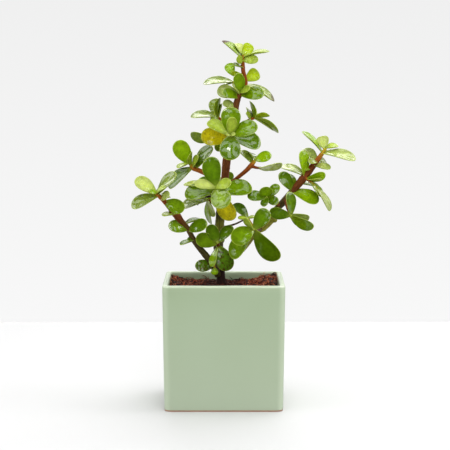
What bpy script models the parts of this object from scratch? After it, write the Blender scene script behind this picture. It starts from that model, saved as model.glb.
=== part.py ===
"""A small jade plant with red-brown stems, standing in a square glazed pot.

The pot stands on z = 0 with its front towards -Y, and the origin is the middle of
its underside. Stems and leaves are listed in millimetres the way a person in front
of the plant sees them against its middle plane, and seen() gives their true places.
"""

import math
import random

import bmesh
import bpy
from mathutils import Vector

MM = 0.001

# The place of the eye that the plant's lists are read from, in millimetres, and how
# the lists' heights and widths are brought to the plant's own
EYE_DISTANCE = 1350
EYE_HEIGHT = 276.5
LIST_SCALE = 0.989
LIST_BASE = 2.6

# Pot: near a cube, a little narrower at the foot, with rounded corners and lip
POT_WIDTH = 0.100
POT_FOOT_WIDTH = 0.097
POT_HEIGHT = 0.1035
POT_WALL = 0.0045
POT_CORNER = 0.0065
LIP_ROUND = 0.0012

# Soil: fills the pot to a few millimetres under the lip
SOIL_LEVEL = 0.097
SOIL_BUMP = 0.0012
SOIL_BANK = 0.006
SOIL_CELLS = 12
GAP = 0.0003
STEM_HOLE_FLOOR = 0.0873

# Leaves: thick blades, widest beyond the middle, with a round tip
BLADE = 1.8
SLENDER = 0.58
LEAN_BACK = -0.5
CUP = 0.13
ARCH = 0.05
ROOT = 0.5
ROOT_STEP = 0.13
STEM_STEP = 7

# Far side: a leaf that leans to the eye by more than a little has a smaller fellow
# leaning away, and the sprigs that are not seen bear crossed pairs
MIRRORED_LEAN = 2.5
MIRRORED_REACH = 0.82
MIRRORED_BACK = 2
SPREAD = math.radians(66)
PAIR_FOLD = 0.25
PAIR_SHORTENING = 0.14

# Each stem is a list of places (x, back, z, radius): x across to the right, back
# away from the eye, z up from the table. Its twigs are more such lists, joined to it.
# Each leaf is (x and z of its root, x and z of its tip, how far the tip lies behind
# the root, the width it shows). Pairs are (how many, the first ones' length).
PLANT = {
    "main_stem": {
        "stem": [
            (-2.5, 0, 86, 3.4), (-2.5, 0, 104, 3.6), (-3.8, 0, 116, 3.8), (-4.6, 0, 130, 4.1),
            (-3.8, 1, 144, 3.8), (-2.9, 1, 155, 3.8), (-1.7, 0, 172, 3.5), (0.8, 0, 186, 3.2),
            (2.4, 1, 201, 3.5), (5.9, 1, 221, 3.3), (10.3, 0, 248, 2.7), (13.5, 0, 257, 2.1),
            (18.5, 0, 266, 1.5), (16.2, 0, 277, 1.8), (16.0, 0, 290, 1.2),
        ],
        "twigs": [
            [(17, 0, 273, 1.2), (11.8, 0, 274, 1.0), (7.6, 0, 273, 0.8)],
            [(13.5, 0, 258, 1.3), (10, 3, 262, 1.0), (7.4, 4, 268, 0.8)],
            [(5.5, 1, 218, 1.4), (-2, 3, 220, 1.1), (-8, 4, 220, 0.9)],
            [(-4.6, -2, 126, 1.0), (-8.5, -6, 119, 0.8), (-7.6, -8, 110, 0.8)],
            [(-1.7, 0, 170, 1.0), (-12, 8, 171.4, 0.8), (-17, 8, 170.2, 0.8), (-21.3, 7, 168, 0.7),
             (-21.9, 6, 163.8, 0.6)],
            [(-3, 0, 145, 1.0), (8.4, 6, 147.6, 0.8), (19.3, 9, 152.7, 0.6)],
        ],
        "leaves": [
            (14, 286, -1.5, 302.2, 6, 4.8), (16, 290, 11, 300, 10, 7), (16, 289, 22.7, 299.4, 6, 9.3),
            (17, 287.5, 38.7, 292.8, -2, 2.2), (16, 286, 10, 286.3, -5, 7.0),
            (16, 286, 29, 284.6, -9, 7.4),
            (8, 273, 3.4, 283.4, 4, 8.4), (16.5, 273, 5.9, 276.3, -3, 4.2),
            (15.5, 279, 7.6, 281.8, -8, 1.7),
            (18, 269, 29.4, 276.3, 5, 10.9), (14, 259.5, 10.1, 274.8, -8, 9.5),
            (7.6, 267.5, -17.7, 266.2, 3, 5.8), (8, 267, 0, 265.8, 8, 3.4),
            (13.5, 257.5, 6.7, 265.4, -7, 2.5), (13.5, 258.3, 22.4, 261.9, -9, 4.8),
            (13.5, 257.5, 34.4, 257.2, -6, 10.8), (18, 264.8, 42.9, 251.5, 6, 5.2),
            (12, 255, -1.7, 258.6, -8, 7.6), (12.5, 256, -6, 261, 2, 11),
            (10, 246.5, -1.5, 250.2, -2.4, 6.2), (-8, 221, -28.6, 224, 2, 8.4),
            (-7.8, 111, -8, 104, -2, 5.9),
        ],
        "mirrored": True,
    },
    "left_branch": {
        "on": "main_stem",
        "stem": [
            (-4, 0, 105, 3.0), (-11.8, -5, 117, 2.9), (-20.2, -10, 127.4, 2.5), (-25.2, -13, 134.2, 2.3),
            (-31.1, -16, 145.1, 2.1), (-36.4, -19, 151, 2.6), (-39.6, -21, 155.2, 3.1),
            (-48.8, -25, 166.1, 2.1), (-57, -28, 174, 1.6),
        ],
        "leaves": [
            (-57, 174, -75.2, 186, -4, 10.4), (-55.5, 171, -78.2, 161.9, -2, 9.0),
            (-55, 173.5, -39.4, 191.2, -6, 7.6), (-57, 174, -47.1, 180.4, -7, 2.5),
            (-57, 174, -63, 175, -7, 3.0), (-52, 170, -45.4, 172.4, -12, 5.9),
            (-50, 166, -32.6, 160.4, -8, 11.8), (-41, 156, -52, 154.8, -9, 1.7),
            (-31.5, 143.3, -47.3, 146.6, -8.7, 9.6), (-30, 142.5, -13.3, 147.8, -12, 9.4),
            (-33, 148, -19.3, 152.7, 6, 1.7), (-25, 134, -37, 130, -8, 1.8),
            (-27, 134, -31.3, 134.6, -4, 2.8), (-10.5, 112, -24.8, 112, -8, 9.6),
        ],
        "mirrored": True,
    },
    "right_branch": {
        "on": "main_stem",
        "stem": [
            (-3, 0, 112, 2.6), (5.9, 5, 120, 2.6), (16, 9, 127.4, 2.7), (26.9, 11, 141.2, 2.7),
            (33.4, 11, 144.8, 2.8), (40.4, 12, 152.8, 3.4), (45.6, 12, 161.8, 2.9), (49.6, 12, 166.1, 2.9),
            (58.9, 13, 177, 2.9), (66, 14, 185.5, 3.3), (73.2, 16, 194.7, 2.9), (79, 18, 202.5, 2.2),
            (85.8, 20, 212, 1.3),
        ],
        "twigs": [
            [(40.4, 12, 152.6, 2.4), (44.6, 10, 150.6, 1.6)],
            [(68, 14, 188, 1.3), (73.5, 8, 183, 1.0), (78.5, 5, 177.5, 0.8)],
        ],
        "leaves": [
            (82, 208, 65.2, 226.3, 0, 3.4), (85, 211, 82, 222.6, 9, 10), (86, 213, 96.3, 214.4, 6, 4),
            (84, 206.8, 111.4, 202.2, -4, 7.2), (78, 201.5, 66.4, 211.5, 9, 7.6),
            (67, 188, 64.6, 210, -7, 8.4), (73, 195.5, 66.4, 193.6, -5, 3.0),
            (78, 201, 71.5, 199.6, -11, 4.2), (76, 197, 89.8, 194.2, -9, 4.5),
            (79, 202, 87.5, 198, 10, 3.4), (71, 186.5, 85.6, 191.2, -7, 8),
            (70, 186, 82.4, 186.8, -7, 2.5), (65, 181.5, 75.3, 180.6, 9, 2.6),
            (73, 184, 82.5, 170.5, -6, 5.2),
            (78.5, 177.5, 89.8, 158.5, -3, 5.4), (59.5, 174.4, 80.2, 166.2, -7, 10.2),
            (58, 176, 46.3, 191.3, -6, 10.0), (59, 177, 53.8, 191.3, 8, 6.7),
            (69, 188.5, 47.5, 197.2, 8, 5.9),
        ],
        "mirrored": True,
    },
    "left_mid_branch": {
        "on": "main_stem",
        "stem": [(-0.8, 0, 179.6, 1.9), (-9, 7, 187, 2.0), (-18.5, 13, 192.2, 2.0), (-26, 17.5, 195.5, 2.0),
                 (-28.4, 18, 199.4, 1.0)],
        "leaves": [
            (-24, 195, -9.3, 214, -3, 9.3), (-28, 199, -40, 218.6, -3, 14),
            (-27, 197, -27.3, 209, -8, 3.4), (-28.4, 199.4, -39.1, 195.1, -10, 1.8),
            (-26, 195, -21, 205.6, -9, 3.4), (-26, 195.5, -47.1, 178.7, 5, 9.3),
        ],
        "mirrored": True,
    },
    "right_mid_branch": {
        "on": "main_stem",
        "stem": [(1.7, 0, 179, 1.4), (7.6, -3, 184, 1.5), (17.7, -8, 192.2, 1.8), (22.7, -10, 197.2, 2.0),
                 (26.5, -12, 202, 1.4)],
        "twigs": [[(22.7, -10, 197, 1.3), (28, -12, 195.5, 1.1), (32, -13, 195.6, 0.9)]],
        "leaves": [
            (24, 199, 13.5, 210.7, 7, 5.9), (26, 202, 21, 209, 9, 2.5), (26, 203, 40.6, 206.4, -6.4, 8.4),
            (29, 197.5, 49.6, 199.4, -6, 5.6),
        ],
        "mirrored": True,
    },
    "upper_left_sprig": {
        "on": "main_stem",
        "stem": [(6.9, 0, 228, 1.4), (0, 5, 234, 1.3), (-7.2, 10, 239.6, 1.1)],
        "leaves": [
            (-7, 236.4, -28.4, 238.8, 3, 5.9), (-7, 239.5, -7.5, 254, 9, 9),
            (-5, 238, -3.5, 254.6, -5, 4.6), (-4, 237, -1.7, 250, 4, 2.5), (-7, 239.5, -8.4, 231.7, -9, 6.7),
        ],
        "mirrored": True,
    },
    "upper_right_sprig": {
        "on": "main_stem",
        "stem": [(8, 0, 228, 1.4), (20.2, 8, 235.1, 1.3), (26.2, 12, 237.4, 1.1)],
        "leaves": [
            (25, 237, 21.9, 251.9, -6, 2.9), (23.5, 236.5, 19.3, 246, 9, 3.4),
            (22.7, 236, 18.6, 241.6, -9, 2.5), (26, 237.4, 38.7, 239.7, -6, 4.2),
            (25.5, 235.6, 46.4, 224.6, -3, 4.5), (26, 237.4, 26.9, 244.3, 9, 2.5),
        ],
        "mirrored": True,
    },
    "front_upper_sprig": {
        "on": "main_stem",
        "stem": [(5.5, 0, 219, 1.7), (5.4, -10, 221, 1.6), (5.9, -24, 223.3, 1.2)],
        "leaves": [
            (5.9, 223.3, 5.9, 247, 2, 15.8), (5.9, 223.3, 5.5, 238.5, -9, 8.4),
            (5.7, 222.5, -14.3, 234.2, 2, 9), (5.9, 223, 29, 230.9, -4, 11.8),
            (5, 220, -19.8, 222.4, -3, 14.4), (5.8, 223, 5, 201.4, -11, 16.8),
            (5.5, 221.3, 31.6, 214.8, 4, 13), (5.9, 223.3, 1.5, 223.6, -5, 3.4),
            (5.9, 223.3, 10, 223.8, -5, 3.4),
        ],
    },
    "front_mid_sprig": {
        "on": "main_stem",
        "stem": [(-1.9, 0, 170, 1.8), (-3.5, -10, 174, 1.7), (-6.7, -26, 178.7, 1.2)],
        "leaves": [
            (-6.5, 178.5, -11.4, 205.4, 2, 15.0), (-6.7, 178.7, -25.2, 181.3, -7, 6.7),
            (-5, 176, -34.5, 181.5, 4, 3.4), (-6.7, 178.7, 6.9, 183.4, -8, 7.8),
            (-6, 177, -33.4, 171.8, -2, 12), (-4, 175, 24.4, 178.7, 2, 12.6),
            (-6.5, 178.5, 1.6, 161.4, -15, 16.4), (-5, 176.5, 8.4, 151, -3, 14.3),
            (-5, 176, -21, 187, 3, 6.5),
        ],
    },
    "side_mid_sprig": {
        "on": "main_stem",
        "stem": [(-2.2, 0, 160, 1.3), (-8, -6, 165, 1.2), (-13.5, -10, 168.6, 1.0)],
        "leaves": [
            (-13.5, 167.5, -36.4, 162.2, 4, 7.2), (-13, 168, -10.5, 147.2, 2, 4.2),
            (-13.5, 168.6, -7, 154.4, -8, 5.4),
        ],
    },
    "low_front_sprig": {
        "on": "main_stem",
        "stem": [(-4.6, 0, 127, 1.8), (-5, -8, 130, 1.6), (-5.3, -14, 132.5, 1.2)],
        "leaves": [
            (-5.2, 131.5, -24, 136.8, -6, 12.2), (-5.3, 132.5, -12.6, 148, -3, 10.2),
            (-5.2, 132, 8.4, 146, -2, 7.6), (-5, 130, 4.8, 108.1, -6, 14.3), (-5, 129, -8.6, 111.6, -14, 5.0),
        ],
    },
    "right_outer_sprig": {
        "on": "right_branch",
        "stem": [(51.5, 12, 169, 1.4), (54, 1, 161, 1.3), (56.3, -6, 155.2, 1.1)],
        "leaves": [
            (57, 155.5, 54.2, 175.8, -4, 8.2), (56, 155, 76.5, 145.1, -5, 9.3),
            (56.5, 156.5, 72.3, 151.8, 6, 9.3),
            (56, 155, 38.3, 160, -5, 10.0),
        ],
        "mirrored": True,
    },
    "right_inner_sprig": {
        "on": "right_branch",
        "stem": [(47, 12, 163.5, 1.4), (41, 0, 168, 1.3), (36.2, -9, 170.3, 1.1)],
        "leaves": [
            (37, 170, 47.1, 181.3, -3, 7.4), (36.2, 170.3, 34.5, 180, -6, 11),
            (36.2, 170.3, 19.3, 171.6, -4, 8.2), (36.5, 168, 46, 165, -10, 7.4),
            (36.2, 170.3, 34, 162.4, -10, 6.0),
        ],
    },
    "right_low_sprig": {
        "on": "right_branch",
        "stem": [(31, 11, 143.8, 1.6), (28, -6, 143.5, 1.6), (25.2, -24, 143.4, 1.2)],
        "twigs": [[(26, -16, 143.5, 1.1), (20.2, -16, 153.5, 0.8)]],
        "leaves": [
            (25.4, 143.4, 37, 161, 2, 12.6), (25.6, 143.3, 46.8, 117.3, -2, 15),
            (25.2, 143.4, 5.9, 134.2, -10, 15.0), (25.6, 142.9, 6.3, 118.5, -1, 12),
            (25.2, 143.4, 18.5, 153.5, -8, 4.2), (21, 152.5, 11.8, 152.5, -6, 1.8),
            (21, 153, 27.5, 154.2, 3, 2.0),
            (20.2, 153.5, 7.6, 165.3, 5, 7.6),
        ],
    },
    "rear_upper_sprig": {
        "on": "main_stem",
        "stem": [(5.0, 0, 214, 1.6), (3.5, 16, 219, 1.5), (2.6, 34, 224, 1.15)],
        "pairs": (4, 17),
    },
    "rear_mid_sprig": {
        "on": "main_stem",
        "stem": [(-1.5, 0, 172, 1.8), (-2, 20, 176, 1.6), (-3, 42, 181, 1.2)],
        "pairs": (4, 19),
    },
    "rear_low_sprig": {
        "on": "main_stem",
        "stem": [(-4.2, 0, 131, 1.6), (-5.5, 14, 134, 1.4), (-6, 30, 139, 1.1)],
        "pairs": (3, 14),
    },
}

# Colours as linear values, from the photograph's brightest and darkest patches
GLAZE = (0.40, 0.48, 0.33)
COIR = (0.14, 0.045, 0.026)
LEAF_GREEN = (0.10, 0.26, 0.01)


def collection(name, hidden=False):
    made = bpy.data.collections.new(name)
    made.hide_render = hidden
    bpy.context.scene.collection.children.link(made)
    return made


def object_from(bm, name, home):
    """The bmesh as a new object in the collection home."""
    mesh = bpy.data.meshes.new(name)
    bm.to_mesh(mesh)
    bm.free()
    made = bpy.data.objects.new(name, mesh)
    home.objects.link(made)
    return made


def cutter_from(bm, name):
    made = object_from(bm, name, cutters)
    made.display_type = "WIRE"
    made.hide_render = True
    return made


def add_boolean(obj, operation, other):
    modifier = obj.modifiers.new(operation.lower(), "BOOLEAN")
    modifier.operation = operation
    modifier.solver = "EXACT"
    if isinstance(other, bpy.types.Collection):
        modifier.operand_type = "COLLECTION"
        modifier.collection = other
    else:
        modifier.object = other


def apply_modifiers(obj):
    graph = bpy.context.evaluated_depsgraph_get()
    graph.update()
    mesh = bpy.data.meshes.new_from_object(obj.evaluated_get(graph))
    obj.modifiers.clear()
    old = obj.data
    obj.data = mesh
    bpy.data.meshes.remove(old)


def keep_outer_surface(obj):
    """Drops the scraps and sealed pockets that joining many leaves can leave."""
    bm = bmesh.new()
    bm.from_mesh(obj.data)
    unseen = set(bm.verts)
    islands = []
    while unseen:
        reached = [unseen.pop()]
        for vert in reached:
            for edge in vert.link_edges:
                other = edge.other_vert(vert)
                if other in unseen:
                    unseen.remove(other)
                    reached.append(other)
        islands.append(reached)
    islands.sort(key=len)
    scraps = [vert for island in islands[:-1] for vert in island]
    bmesh.ops.delete(bm, geom=scraps, context="VERTS")
    bm.to_mesh(obj.data)
    bm.free()


def give_material(obj, name, colour, roughness):
    material = bpy.data.materials.new(name)
    material.use_nodes = True
    shader = material.node_tree.nodes["Principled BSDF"]
    shader.inputs["Base Color"].default_value = (*colour, 1)
    shader.inputs["Roughness"].default_value = roughness
    shader.inputs["Metallic"].default_value = 0
    obj.data.materials.clear()
    obj.data.materials.append(material)


def square_block(inset, low, high):
    """The pot's outer form between two heights, drawn in on all sides by inset."""
    bm = bmesh.new()
    bmesh.ops.create_cube(bm, size=1)
    for vert in bm.verts:
        height = low if vert.co.z < 0 else high
        width = POT_FOOT_WIDTH + (POT_WIDTH - POT_FOOT_WIDTH) * height / POT_HEIGHT - 2 * inset
        vert.co = (vert.co.x * width, vert.co.y * width, height)
    uprights = [e for e in bm.edges if abs(e.verts[0].co.z - e.verts[1].co.z) > (high - low) / 2]
    corner = max(POT_CORNER - inset, POT_CORNER / 4)
    bmesh.ops.bevel(bm, geom=uprights, offset=corner, segments=3, profile=0.5, affect="EDGES")
    return bm


def make_pot():
    bm = square_block(0, 0, POT_HEIGHT)
    top = [f for f in bm.faces if f.calc_center_median().z > POT_HEIGHT - MM]
    bmesh.ops.delete(bm, geom=top, context="FACES_ONLY")
    pot = object_from(bm, "pot", parts)
    shell = pot.modifiers.new("wall", "SOLIDIFY")
    shell.thickness = POT_WALL
    shell.offset = -1
    shell.use_even_offset = True
    lip = pot.modifiers.new("lip", "BEVEL")
    lip.width = LIP_ROUND
    lip.segments = 2
    lip.limit_method = "ANGLE"
    lip.angle_limit = math.radians(50)
    lip.use_clamp_overlap = False
    give_material(pot, "celadon_glaze", GLAZE, 0.2)


def soil_height(x, y):
    """Low bumps, with the fibre banked a little against the two rear corners."""
    bumps = math.sin(x * 230 + 1) * math.cos(y * 190) + 0.6 * math.sin(x * 410 + y * 350)
    bank = SOIL_BANK * max(0, 2 * y / POT_WIDTH) * (2 * x / POT_WIDTH) ** 4
    return SOIL_LEVEL + SOIL_BUMP * bumps / 1.6 + bank


def make_soil():
    bm = bmesh.new()
    bmesh.ops.create_grid(bm, x_segments=SOIL_CELLS, y_segments=SOIL_CELLS, size=POT_WIDTH / 2)
    top = list(bm.faces)
    for vert in bm.verts:
        vert.co.z = soil_height(vert.co.x, vert.co.y)
    deep = bmesh.ops.extrude_face_region(bm, geom=top)
    for vert in (g for g in deep["geom"] if isinstance(g, bmesh.types.BMVert)):
        vert.co.z = 0
    bmesh.ops.recalc_face_normals(bm, faces=bm.faces)
    soil = object_from(bm, "soil", parts)
    fill = square_block(POT_WALL + GAP, POT_WALL + GAP, POT_HEIGHT + POT_WALL)
    floor_edges = [e for e in fill.edges if max(v.co.z for v in e.verts) < POT_WALL + 2 * GAP]
    bmesh.ops.bevel(fill, geom=floor_edges, offset=LIP_ROUND, segments=1, affect="EDGES")
    add_boolean(soil, "INTERSECT", cutter_from(fill, "pot_inside"))
    x, back, _, radius = PLANT["main_stem"]["stem"][0]
    hole = bmesh.new()
    bmesh.ops.create_cone(hole, cap_ends=True, segments=10, radius1=radius * MM + 3 * GAP,
                          radius2=radius * MM + 3 * GAP, depth=2 * (POT_HEIGHT - STEM_HOLE_FLOOR))
    bmesh.ops.translate(hole, verts=hole.verts, vec=seen(x, back, 0).xy.to_3d() + Vector((0, 0, POT_HEIGHT)))
    add_boolean(soil, "DIFFERENCE", cutter_from(hole, "stem_hole"))
    give_material(soil, "coir_soil", COIR, 0.9)


def seen(x, back, z):
    """The true place of what shows at x and z against the middle plane, and lies back."""
    far = (EYE_DISTANCE + back) / EYE_DISTANCE
    height = LIST_BASE + z * LIST_SCALE
    return Vector((x * LIST_SCALE * far, back, EYE_HEIGHT + (height - EYE_HEIGHT) * far)) * MM


def smooth_route(places, step):
    """Places on a smooth curve through the given ones, about a step apart."""
    knots = [(*seen(*p[:3]), p[3]) for p in places]
    knots = [knots[0], *knots, knots[-1]]
    route = []
    for a, b, c, d in zip(knots, knots[1:], knots[2:], knots[3:]):
        steps = max(1, round((Vector(c[:3]) - Vector(b[:3])).length / (step * MM)))
        for i in range(steps):
            t = i / steps
            route.append([
                q + 0.5 * ((r - p) * t + (2 * p - 5 * q + 4 * r - s) * t**2
                           + (3 * q - p - 3 * r + s) * t**3)
                for p, q, r, s in zip(a, b, c, d)
            ])
    route.append(list(knots[-1]))
    return [(Vector(p[:3]), p[3]) for p in route]


def stem_tube(name, places, home, extra=0.0):
    """A stem as a mesh tube; extra millimetres are added to its radius."""
    curve = bpy.data.curves.new(name, "CURVE")
    curve.dimensions = "3D"
    curve.bevel_depth = MM
    curve.bevel_resolution = 1
    curve.use_fill_caps = True
    route = smooth_route(places, STEM_STEP)
    spline = curve.splines.new("POLY")
    spline.points.add(len(route) - 1)
    for point, (place, radius) in zip(spline.points, route):
        point.co = (*place, 1)
        point.radius = radius + extra
    drawn = bpy.data.objects.new(name + "_curve", curve)
    home.objects.link(drawn)
    graph = bpy.context.evaluated_depsgraph_get()
    graph.update()
    mesh = bpy.data.meshes.new_from_object(drawn.evaluated_get(graph))
    bpy.data.objects.remove(drawn)
    bm = bmesh.new()
    bm.from_mesh(mesh)
    bpy.data.meshes.remove(mesh)
    bmesh.ops.remove_doubles(bm, verts=bm.verts, dist=1e-6)
    bmesh.ops.recalc_face_normals(bm, faces=bm.faces)
    return object_from(bm, name, home)


def fullness(t):
    """How wide a leaf is at t of its length, as a share of an ellipse's width there."""
    return 0.61 + 0.73 * t


def make_leaf(name, root, tip, upward, shown, home):
    """One thick leaf. It turns about its length until its seen width is the shown one,
    with its upper face towards upward, the way its stem grows."""
    along = tip - root
    length = along.length
    along.normalize()
    sunk = (ROOT + ROOT_STEP * (len(home.objects) % 5)) * MM
    root = root - along * sunk
    width = max(shown, SLENDER * length / MM) * MM
    to_eye = Vector((0, -1, 0)) - along * along.dot(Vector((0, -1, 0)))
    to_eye.normalize()
    aside = along.cross(to_eye)
    turn = math.acos(min(1, shown * MM / width))
    facing = 1 if upward.dot(to_eye) >= LEAN_BACK else -1
    leaning = 1 if upward.dot(aside) >= 0 else -1
    normal = to_eye * math.cos(turn) * facing + aside * math.sin(turn) * leaning
    sideways = normal.cross(along)
    bm = bmesh.new()
    bmesh.ops.create_uvsphere(bm, u_segments=4, v_segments=5 if length > 9 * MM else 4, radius=1)
    for vert in bm.verts:
        across, thick, t = vert.co.x, vert.co.y, (1 + vert.co.z) / 2
        ring = math.sqrt(max(0, 1 - vert.co.z**2))
        raised = thick * BLADE / 2 + CUP * width / MM * across**2 + ARCH * length / MM * ring**2
        vert.co = (root + along * (length + sunk) * t + sideways * across * width / 2 * fullness(t)
                   + normal * raised * MM)
    return object_from(bm, name, home)


def nearest_on(routes, x, z):
    """The place on the stems nearest to what shows at x and z, and the way they grow there."""
    best = None
    for places in routes:
        route = smooth_route(places, 1)
        for (a, _), (b, _) in zip(route, route[1:]):
            off = (seen(x, b.y / MM, z) - b).length
            if best is None or off < best[0]:
                best = (off, b, (b - a).normalized())
    return best[1:]


def listed_leaves(sprig, home):
    """The leaves in the sprig's list, and for a mirrored one the fellows on its far side."""
    routes = [sprig["stem"], *sprig.get("twigs", [])]
    for i, (x, z, tip_x, tip_z, back, shown) in enumerate(sprig["leaves"]):
        root, growth = nearest_on(routes, x, z)
        tip = seen(tip_x, root.y / MM + back, tip_z)
        make_leaf(f"leaf_{i}", root, tip, growth, shown, home)
        if sprig.get("mirrored") and back < -MIRRORED_LEAN:
            reach = MIRRORED_REACH
            tip = seen(x + (tip_x - x) * reach, root.y / MM - back * reach + MIRRORED_BACK,
                       z + (tip_z - z) * reach)
            make_leaf(f"far_leaf_{i}", root, tip, growth, shown * reach, home)


def paired_leaves(sprig, home, draws):
    """Crossed pairs of leaves along the outer part of the sprig's stem."""
    count, length = sprig["pairs"]
    route = smooth_route(sprig["stem"], 1)
    for pair in range(count):
        share = 0.5 + 0.5 * pair / (count - 1)
        root = route[round(share * (len(route) - 1))][0]
        growth = (route[-1][0] - route[0][0]).normalized()
        across = growth.orthogonal().normalized()
        for side in range(2):
            angle = math.pi * (side + pair / 2) + draws.uniform(-0.2, 0.2)
            out = across * math.cos(angle) + growth.cross(across) * math.sin(angle)
            lean = SPREAD - PAIR_FOLD * pair
            way = growth * math.cos(lean) + out * math.sin(lean)
            tip = root + way * length * MM * (1 - PAIR_SHORTENING * pair)
            make_leaf(f"leaf_{pair}_{side}", root, tip, growth, SLENDER * length * 0.9, home)


def make_sprig(name, sprig, draws):
    """A stem with its twigs and leaves joined to it, cut clear of the stem that it grows on."""
    node = stem_tube(name, sprig["stem"], parts)
    if "on" in sprig:
        bearer = stem_tube(name + "_seat", PLANT[sprig["on"]]["stem"], cutters, GAP / MM)
        bearer.display_type = "WIRE"
        bearer.hide_render = True
        add_boolean(node, "DIFFERENCE", bearer)
        apply_modifiers(node)
        bpy.data.objects.remove(bearer)
    grown = collection(name + "_growth", hidden=True)
    for i, twig in enumerate(sprig.get("twigs", [])):
        stem_tube(f"twig_{i}", twig, grown)
    if "pairs" in sprig:
        paired_leaves(sprig, grown, draws)
    else:
        listed_leaves(sprig, grown)
    add_boolean(node, "UNION", grown)
    apply_modifiers(node)
    keep_outer_surface(node)
    for obj in list(grown.objects):
        bpy.data.objects.remove(obj)
    bpy.data.collections.remove(grown)
    give_material(node, name + "_leaf", LEAF_GREEN, 0.35)


for old in list(bpy.data.objects):
    bpy.data.objects.remove(old)
parts = collection("potted_jade_plant")
cutters = collection("cutters", hidden=True)
make_pot()
make_soil()
seeded = random.Random(7)
for node_name, listed in PLANT.items():
    make_sprig(node_name, listed, seeded)
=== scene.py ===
"""The looks of a potted jade plant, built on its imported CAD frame.

Everything is in metres in the frame's own axes: the pot stands on z = 0 with its
front towards -Y. The plant's stems and leaves are listed in millimetres, the way a
person in front of it sees them against its middle plane.
"""

import math
import random

import bpy
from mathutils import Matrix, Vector, noise


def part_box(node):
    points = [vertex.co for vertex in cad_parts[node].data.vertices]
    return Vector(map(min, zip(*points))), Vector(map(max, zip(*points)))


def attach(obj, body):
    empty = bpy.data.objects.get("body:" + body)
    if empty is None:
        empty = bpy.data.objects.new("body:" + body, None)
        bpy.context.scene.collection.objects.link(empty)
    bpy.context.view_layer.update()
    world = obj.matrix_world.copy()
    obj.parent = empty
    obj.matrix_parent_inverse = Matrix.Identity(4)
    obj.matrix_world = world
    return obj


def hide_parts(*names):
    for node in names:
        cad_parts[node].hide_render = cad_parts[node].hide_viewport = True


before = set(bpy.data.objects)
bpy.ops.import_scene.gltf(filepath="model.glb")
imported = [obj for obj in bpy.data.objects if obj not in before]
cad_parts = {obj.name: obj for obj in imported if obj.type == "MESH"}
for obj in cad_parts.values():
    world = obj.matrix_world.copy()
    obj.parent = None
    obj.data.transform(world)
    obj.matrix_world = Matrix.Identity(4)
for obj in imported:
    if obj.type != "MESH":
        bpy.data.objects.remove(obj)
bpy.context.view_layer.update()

# Camera. It stands level with the upper leaves and looks a little down through a long
# lens, so that the pot's front stays square and the soil just shows behind its lip.
CAMERA_PLACE = (0.001, -1.35, 0.2765)
CAMERA_DIP = 5.43
CAMERA_LENS = 130
lens = bpy.data.cameras.new("camera")
lens.lens = CAMERA_LENS
lens.sensor_width = 36
camera = bpy.data.objects.new("camera", lens)
camera.location = CAMERA_PLACE
camera.rotation_euler = (math.radians(90 - CAMERA_DIP), 0, 0)
bpy.context.scene.collection.objects.link(camera)
bpy.context.scene.camera = camera

# Pot. A slip-cast stoneware planter, near a cube and a little narrower at the foot,
# dipped in one celadon glaze. The glaze runs thin and pale over the lip and the upright
# corners, a paleness that is partly painted highlight, and it is wiped off the foot, which
# leaves a line of bare clay.
MM = 0.001
POT_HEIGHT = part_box("pot")[1].z
POT_WIDTH = 2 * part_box("pot")[1].x
POT_FOOT_WIDTH = 0.097
POT_WALL = 0.0045
POT_CORNER = 0.0065
LIP_ROUND = 0.0018
LIP_WAVE = 0.0003
LIP_WAVES_PER_METRE = 45
FOOT_ROUND = 0.0006
FOOT_RING = 0.012
CLAY_LINE = 0.0012
GLAZE_THICKNESS = 0.0002
GLAZE_COLOUR = "#a5b898"
GLAZE_POOLED = "#9db08c"
GLAZE_PAINTED_LIGHT_LOW = "#b1bfa6"
GLAZE_THIN_AND_HIGHLIGHT = "#cdd8c0"
CLAY_COLOUR = "#c79d86"
CLAY_DARK = "#9c6f5a"
CORNER_STEPS = 10
SIDE_STEPS = 14
WALL_STEPS = 26
INSIDE_DEPTHS = (0.004, 0.007, 0.012, 0.03, 0.09)


def linear(colour):
    """An sRGB hex colour as linear red, green and blue, with an alpha of 1."""
    shares = [int(colour[i:i + 2], 16) / 255 for i in (1, 3, 5)]
    return [s / 12.92 if s <= 0.04045 else ((s + 0.055) / 1.055) ** 2.4 for s in shares] + [1]


def add_node(tree, kind, inputs=None, **settings):
    """A shader node with its settings. An input is a value, or the socket that feeds it."""
    made = tree.nodes.new("ShaderNode" + kind)
    for name, value in settings.items():
        setattr(made, name, value)
    for socket, value in (inputs or {}).items():
        if isinstance(value, bpy.types.NodeSocket):
            tree.links.new(value, made.inputs[socket])
        else:
            made.inputs[socket].default_value = value
    return made


class Shape:
    """Points, faces and what is painted on the points, gathered for one piece."""

    def __init__(self):
        self.points, self.faces, self.finishes, self.paint = [], [], [], {}

    def add(self, points, faces, finishes=None, **paint):
        first = len(self.points)
        self.points.extend(points)
        self.faces.extend([first + i for i in face] for face in faces)
        self.finishes.extend(finishes or [0] * len(faces))
        for name, values in paint.items():
            self.paint.setdefault(name, []).extend(values)

    def piece(self, name, slot, node, *materials):
        """The gathered mesh as an object that rides on the root and stands for the CAD node."""
        mesh = bpy.data.meshes.new(name)
        mesh.from_pydata(self.points, [], self.faces)
        for material in materials:
            mesh.materials.append(material)
        mesh.polygons.foreach_set("material_index", self.finishes)
        mesh.shade_smooth()
        for layer, values in self.paint.items():
            kind, field = {1: ("FLOAT", "value"), 3: ("FLOAT_VECTOR", "vector"),
                           4: ("FLOAT_COLOR", "color")}[len(values[0])]
            painted = mesh.attributes.new(layer, kind, "POINT")
            painted.data.foreach_set(field, [number for value in values for number in value])
        made = bpy.data.objects.new(name, mesh)
        bpy.context.scene.collection.objects.link(made)
        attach(made, "root")
        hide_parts(node)


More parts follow.
